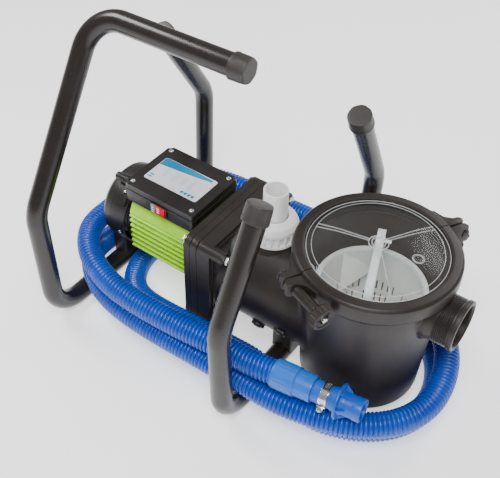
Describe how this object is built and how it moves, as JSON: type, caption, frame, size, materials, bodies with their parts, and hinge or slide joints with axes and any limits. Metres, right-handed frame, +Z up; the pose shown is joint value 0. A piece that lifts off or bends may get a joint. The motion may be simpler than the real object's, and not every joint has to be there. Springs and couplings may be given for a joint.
{
  "type": "portable strainer pump",
  "caption": "Electric water pump with a see-through strainer pot, on a bent-tube carrying frame with a coiled corrugated suction hose.",
  "frame": {"origin": "on the floor, at the middle of the bounding box of the pump and its frame", "axes": "+X along the motor shaft towards the strainer pot and its suction port, +Y away from the side with the switch, +Z up"},
  "size_m": [0.6621, 0.4434, 0.5127],
  "materials": {
    "frame_paint": "gloss black powder coat",
    "cap_rubber": "satin dark rubber",
    "pump_plastic": "fine-grained black glass-filled plastic",
    "motor_paint": "gloss lime green paint over a finned casting",
    "cover_plastic": "satin black moulding",
    "box_plastic": "satin black moulding",
    "laminations": "stacked electrical steel",
    "bright_steel": "bright zinc plate",
    "screw_chrome": "polished",
    "grey_nylon": "plain moulded grey",
    "white_plastic": "satin white moulding",
    "basket_plastic": "translucent white moulding",
    "seal_rubber": "soft black rubber",
    "lid_clear": "clear moulded polycarbonate",
    "label_film": "pale film with a plain cyan wedge, no text",
    "switch_grey": "grey translucent cover",
    "switch_red": "gloss red",
    "hose_blue": "flexible corrugated blue plastic, satin",
    "cuff_blue": "smooth paler blue plastic",
    "fitting_blue": "moulded blue plastic"
  },
  "bodies": {
    "base": {"frame_tube_rear": "frame_paint", "frame_tube_front": "frame_paint", "cap_rear_upright": "cap_rubber", "cap_handle": "cap_rubber", "cap_front_far": "cap_rubber", "cap_front_near": "cap_rubber", "motor_saddle": "pump_plastic", "pump_saddle": "pump_plastic", "motor_bracket": "pump_plastic", "seal_plate": "pump_plastic", "volute_casing": "pump_plastic", "strainer_pot": "pump_plastic", "rear_end_shield": "pump_plastic", "motor_housing": "motor_paint", "fan_cover": "cover_plastic", "cable_gland": "cover_plastic", "terminal_box": "box_plastic", "terminal_box_cover": "box_plastic", "stator": "laminations", "bearing_front": "bright_steel", "bearing_rear": "bright_steel", "through_bolt_1": "bright_steel", "through_bolt_2": "bright_steel", "through_bolt_3": "bright_steel", "through_bolt_4": "bright_steel", "cover_screw_1": "screw_chrome", "cover_screw_2": "screw_chrome", "cover_screw_3": "screw_chrome", "cover_screw_4": "screw_chrome", "hose_clamp": "screw_chrome", "diffuser": "grey_nylon", "mechanical_seal": "grey_nylon", "capacitor": "grey_nylon", "hose_tail": "white_plastic", "terminal_block": "white_plastic", "volute_o_ring": "seal_rubber", "union_washer": "seal_rubber", "lid_gasket": "seal_rubber", "label_plate": "label_film", "switch_bezel": "switch_grey", "hose": "hose_blue", "hose_cuff": "cuff_blue", "hose_end_sleeve": "cuff_blue", "hose_fitting": "fitting_blue"},
    "drive": {"motor_shaft": "bright_steel", "rotor": "laminations", "cooling_fan": "grey_nylon", "impeller": "grey_nylon"},
    "rocker": {"switch_rocker": "switch_red"},
    "nut": {"union_nut": "white_plastic"},
    "lid_set": {"pot_lid": "lid_clear", "clamp_ring_left": "pump_plastic", "clamp_ring_right": "pump_plastic", "clamp_bolt_near": "bright_steel", "clamp_bolt_far": "bright_steel", "clamp_nut_far": "bright_steel"},
    "knob": {"clamp_knob": "pump_plastic"},
    "basket": {"strainer_basket": "basket_plastic"},
    "bail": {"basket_handle": "basket_plastic"},
    "drain": {"drain_plug": "pump_plastic"}
  },
  "joints": [
    {"name": "shaft_spin", "type": "hinge", "parent": "base", "child": "drive", "pos_m": [0, 0, 0.125], "axis": [1, 0, 0], "continuous": true},
    {"name": "rocker_tip", "type": "hinge", "parent": "base", "child": "rocker", "pos_m": [-0.175, -0.054, 0.1995], "axis": [0, 0, 1], "range_deg": [-12, 0]},
    {"name": "union_nut_turn", "type": "hinge", "parent": "base", "child": "nut", "pos_m": [0, 0, 0.22], "axis": [0, 0, 1], "continuous": true},
    {"name": "lid_lift", "type": "slide", "parent": "base", "child": "lid_set", "axis": [0, 0, 1], "range_m": [0, 0.12]},
    {"name": "knob_turn", "type": "hinge", "parent": "lid_set", "child": "knob", "pos_m": [0.1005, -0.11345, 0.26], "axis": [0.9405, -0.3374, -0.04], "continuous": true},
    {"name": "basket_lift", "type": "slide", "parent": "base", "child": "basket", "axis": [0, 0, 1], "range_m": [0, 0.08]},
    {"name": "bail_swing", "type": "hinge", "parent": "basket", "child": "bail", "pos_m": [0.166, 0, 0.2], "axis": [0.3502, -0.9367, 0], "range_deg": [0, 66]},
    {"name": "drain_plug_turn", "type": "hinge", "parent": "base", "child": "drain", "pos_m": [0.022, -0.0628, 0.0779], "axis": [0, -0.8, -0.6], "continuous": true}
  ],
  "couplings": [
    {"joint": "basket_lift", "follows": "lid_lift", "ratio": 0.6}
  ]
}
